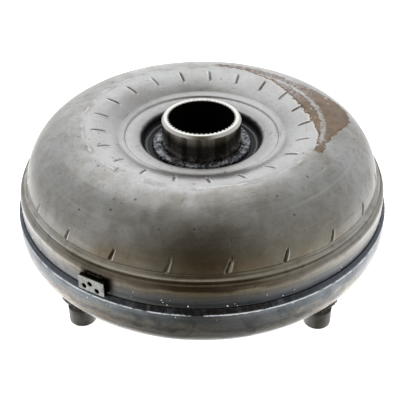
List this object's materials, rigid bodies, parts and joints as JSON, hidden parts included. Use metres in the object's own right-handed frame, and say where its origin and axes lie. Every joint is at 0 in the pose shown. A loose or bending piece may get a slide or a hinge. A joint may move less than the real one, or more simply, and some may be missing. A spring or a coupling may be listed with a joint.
{
  "type": "torque converter",
  "caption": "Welded torque converter: a round steel housing on drive bosses, with a pump hub on top, and a turbine, a stator on a roller clutch and needle bearings inside.",
  "frame": {"origin": "on the axis of rotation, in the plane of the drive bosses' ends", "axes": "+Z along the axis of rotation, from the engine side to the pump hub. -Y is the side with the balance weight to its left"},
  "size_m": [0.311, 0.311, 0.135],
  "materials": {
    "shell_steel": "bare stamped steel with an oily film, worn satin",
    "cover_steel": "bare drawn steel, heat tinted and oiled",
    "machined_steel": "ground or turned bright",
    "weld_steel": "heat-blued weld bead, rough",
    "boss_steel": "dull forged steel with scale",
    "stamped_steel": "bare stamped sheet, brazed",
    "cast_aluminium": "as cast, faces machined",
    "hardened_steel": "hardened and ground",
    "spring_steel": "blued spring strip",
    "bronze": "turned bearing bronze"
  },
  "bodies": {
    "housing": {"front_cover": "cover_steel", "mounting_boss_1": "boss_steel", "mounting_boss_2": "boss_steel", "mounting_boss_3": "boss_steel", "mounting_boss_4": "boss_steel", "boss_weld_1": "weld_steel", "boss_weld_2": "weld_steel", "boss_weld_3": "weld_steel", "boss_weld_4": "weld_steel", "crank_pilot": "machined_steel", "pilot_weld": "weld_steel", "impeller_shell": "shell_steel", "impeller_vane_wheel": "stamped_steel", "pump_hub": "machined_steel", "hub_weld": "weld_steel", "closing_weld": "weld_steel", "balance_weight": "machined_steel", "weight_weld": "weld_steel", "upper_bearing_race": "hardened_steel"},
    "turbine": {"turbine_shell": "stamped_steel", "turbine_vane_wheel": "stamped_steel", "turbine_hub": "machined_steel", "turbine_rivet_1": "hardened_steel", "turbine_rivet_2": "hardened_steel", "turbine_rivet_3": "hardened_steel", "turbine_rivet_4": "hardened_steel", "turbine_rivet_5": "hardened_steel", "turbine_rivet_6": "hardened_steel", "turbine_rivet_7": "hardened_steel", "turbine_rivet_8": "hardened_steel", "turbine_thrust_washer": "bronze", "lower_bearing_race": "hardened_steel"},
    "stator": {"stator_wheel": "cast_aluminium", "clutch_outer_race": "hardened_steel", "clutch_cap_upper": "bronze", "clutch_cap_lower": "bronze", "roller_spring_1": "spring_steel", "roller_spring_2": "spring_steel", "roller_spring_3": "spring_steel", "roller_spring_4": "spring_steel", "roller_spring_5": "spring_steel", "roller_spring_6": "spring_steel", "roller_spring_7": "spring_steel", "roller_spring_8": "spring_steel"},
    "inner_race": {"clutch_inner_race": "hardened_steel"},
    "upper_cage": {"upper_needle_cage": "hardened_steel"},
    "lower_cage": {"lower_needle_cage": "hardened_steel"},
    "roller_1": {"clutch_roller_1": "hardened_steel"},
    "roller_2": {"clutch_roller_2": "hardened_steel"},
    "roller_3": {"clutch_roller_3": "hardened_steel"},
    "roller_4": {"clutch_roller_4": "hardened_steel"},
    "roller_5": {"clutch_roller_5": "hardened_steel"},
    "roller_6": {"clutch_roller_6": "hardened_steel"},
    "roller_7": {"clutch_roller_7": "hardened_steel"},
    "roller_8": {"clutch_roller_8": "hardened_steel"}
  },
  "joints": [
    {"name": "turbine_spin", "type": "hinge", "parent": "housing", "child": "turbine", "pos_m": [0, 0, 0.0568], "axis": [0, 0, 1], "continuous": true},
    {"name": "stator_spin", "type": "hinge", "parent": "housing", "child": "stator", "pos_m": [0, 0, 0.084], "axis": [0, 0, 1], "continuous": true},
    {"name": "inner_race_spin", "type": "hinge", "parent": "stator", "child": "inner_race", "pos_m": [0, 0, 0.084], "axis": [0, 0, 1], "continuous": true},
    {"name": "upper_cage_spin", "type": "hinge", "parent": "housing", "child": "upper_cage", "pos_m": [0, 0, 0.1005], "axis": [0, 0, 1], "continuous": true},
    {"name": "lower_cage_spin", "type": "hinge", "parent": "housing", "child": "lower_cage", "pos_m": [0, 0, 0.0677], "axis": [0, 0, 1], "continuous": true},
    {"name": "roller_1_spin", "type": "hinge", "parent": "stator", "child": "roller_1", "pos_m": [0, 0.0342, 0.084], "axis": [0, 0, 1], "continuous": true},
    {"name": "roller_2_spin", "type": "hinge", "parent": "stator", "child": "roller_2", "pos_m": [-0.02418, 0.02418, 0.084], "axis": [0, 0, 1], "continuous": true},
    {"name": "roller_3_spin", "type": "hinge", "parent": "stator", "child": "roller_3", "pos_m": [-0.0342, 0, 0.084], "axis": [0, 0, 1], "continuous": true},
    {"name": "roller_4_spin", "type": "hinge", "parent": "stator", "child": "roller_4", "pos_m": [-0.02418, -0.02418, 0.084], "axis": [0, 0, 1], "continuous": true},
    {"name": "roller_5_spin", "type": "hinge", "parent": "stator", "child": "roller_5", "pos_m": [0, -0.0342, 0.084], "axis": [0, 0, 1], "continuous": true},
    {"name": "roller_6_spin", "type": "hinge", "parent": "stator", "child": "roller_6", "pos_m": [0.02418, -0.02418, 0.084], "axis": [0, 0, 1], "continuous": true},
    {"name": "roller_7_spin", "type": "hinge", "parent": "stator", "child": "roller_7", "pos_m": [0.0342, 0, 0.084], "axis": [0, 0, 1], "continuous": true},
    {"name": "roller_8_spin", "type": "hinge", "parent": "stator", "child": "roller_8", "pos_m": [0.02418, 0.02418, 0.084], "axis": [0, 0, 1], "continuous": true}
  ],
  "couplings": [
    {"joint": "upper_cage_spin", "follows": "stator_spin", "ratio": 0.5},
    {"joint": "lower_cage_spin", "follows": "turbine_spin", "ratio": 0.5},
    {"joint": "roller_1_spin", "follows": "inner_race_spin", "ratio": -7.692},
    {"joint": "roller_2_spin", "follows": "inner_race_spin", "ratio": -7.692},
    {"joint": "roller_3_spin", "follows": "inner_race_spin", "ratio": -7.692},
    {"joint": "roller_4_spin", "follows": "inner_race_spin", "ratio": -7.692},
    {"joint": "roller_5_spin", "follows": "inner_race_spin", "ratio": -7.692},
    {"joint": "roller_6_spin", "follows": "inner_race_spin", "ratio": -7.692},
    {"joint": "roller_7_spin", "follows": "inner_race_spin", "ratio": -7.692},
    {"joint": "roller_8_spin", "follows": "inner_race_spin", "ratio": -7.692}
  ]
}
